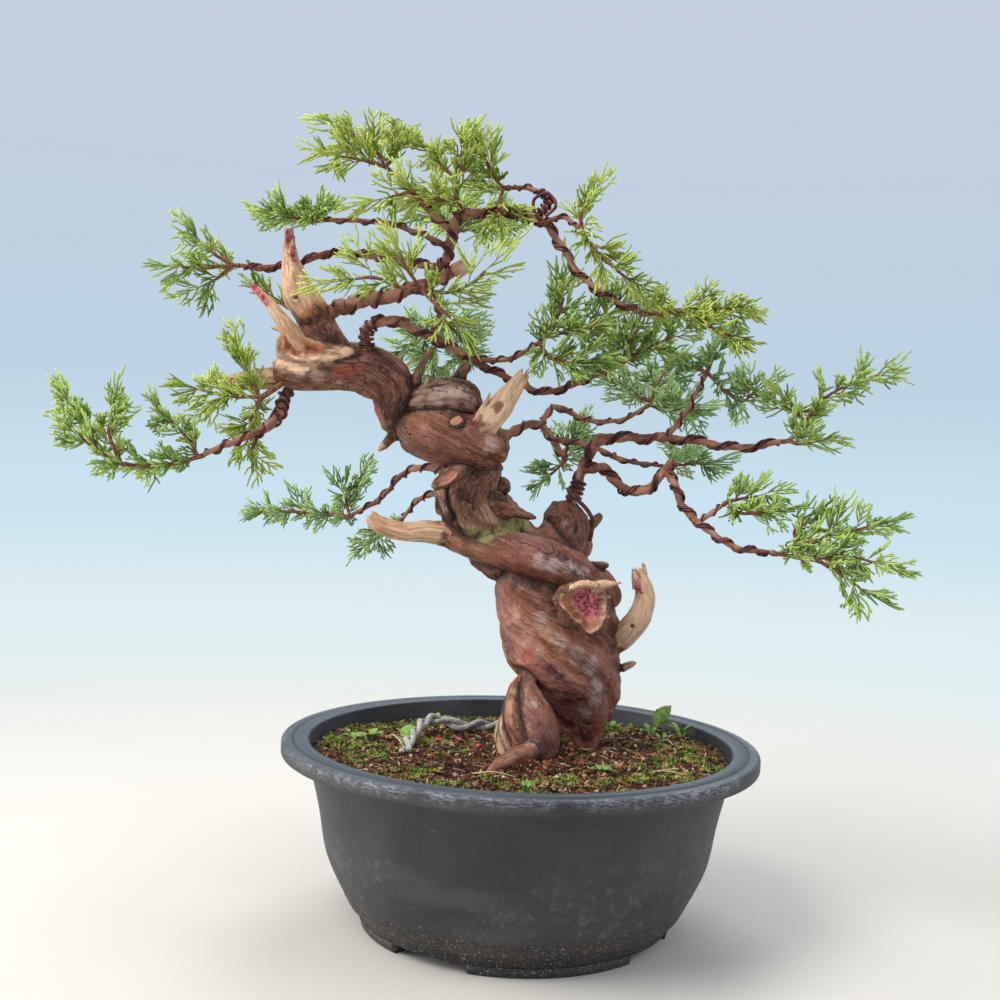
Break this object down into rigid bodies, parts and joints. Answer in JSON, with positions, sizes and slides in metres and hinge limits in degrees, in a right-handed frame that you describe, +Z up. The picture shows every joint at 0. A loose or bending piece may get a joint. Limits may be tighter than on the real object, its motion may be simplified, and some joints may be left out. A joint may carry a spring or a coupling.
{
  "type": "juniper bonsai in a nursery pot",
  "caption": "Small trained juniper with a coiled, twisted trunk, torn bare deadwood, wired boughs and open scale-leaf foliage, standing in a round black plastic nursery pot of soil",
  "frame": {"origin": "on the ground under the middle of the plant's own box; the pot's axis is 37 mm from it towards +X", "axes": "+X to the right as the picture shows the plant, -Y towards the viewer, +Z up"},
  "size_m": [0.5892, 0.33, 0.5563],
  "materials": {
    "pot": "satin",
    "soil": "matte",
    "trunk": "matte",
    "bough_bark": "matte",
    "bare_wood": "matte",
    "bright_leaf": "matte",
    "mid_leaf": "matte",
    "deep_leaf": "matte"
  },
  "bodies": {
    "root": {"pot": "pot", "soil": "soil", "trunk": "trunk", "long_jin": "bare_wood", "cone_jin": "bare_wood", "torn_stub": "bare_wood", "antler_jin": "bare_wood", "tall_jin": "bare_wood", "spike_jin": "bare_wood", "pale_stub": "bare_wood", "crown_limb": "bough_bark", "crown_upright": "bough_bark", "cascade": "bough_bark", "cascade_loop": "bough_bark", "cascade_side": "bough_bark", "apex_bough": "bough_bark", "apex_left": "bough_bark", "apex_back": "bough_bark", "upper_left": "bough_bark", "front_bough": "bough_bark", "middle_back": "bough_bark", "lower_left": "bough_bark", "middle_right": "bough_bark", "middle_right_side": "bough_bark", "back_right": "bough_bark", "back_right_high": "bough_bark", "back_right_low": "bough_bark", "long_right": "bough_bark", "long_right_side": "bough_bark", "low_right_bend": "bough_bark", "low_right": "bough_bark", "low_right_side": "bough_bark", "back_left": "bough_bark", "back_left_low": "bough_bark", "apex_foliage": "bright_leaf", "crown_top_foliage": "bright_leaf", "crown_right_foliage": "bright_leaf", "high_left_foliage": "mid_leaf", "far_left_foliage": "mid_leaf", "front_foliage": "bright_leaf", "cascade_foliage": "bright_leaf", "cascade_tip_foliage": "bright_leaf", "middle_foliage": "mid_leaf", "middle_right_foliage": "mid_leaf", "rear_right_foliage": "deep_leaf", "rear_low_foliage": "deep_leaf", "rear_centre_foliage": "deep_leaf", "long_side_foliage": "deep_leaf", "far_right_foliage": "mid_leaf", "low_side_foliage": "mid_leaf", "low_right_foliage": "mid_leaf", "hanging_foliage": "bright_leaf", "low_left_foliage": "mid_leaf", "rear_left_foliage": "deep_leaf", "rear_left_low_foliage": "deep_leaf", "middle_back_foliage": "deep_leaf", "apex_back_foliage": "mid_leaf", "shoulder_foliage": "mid_leaf"}
  },
  "joints": []
}
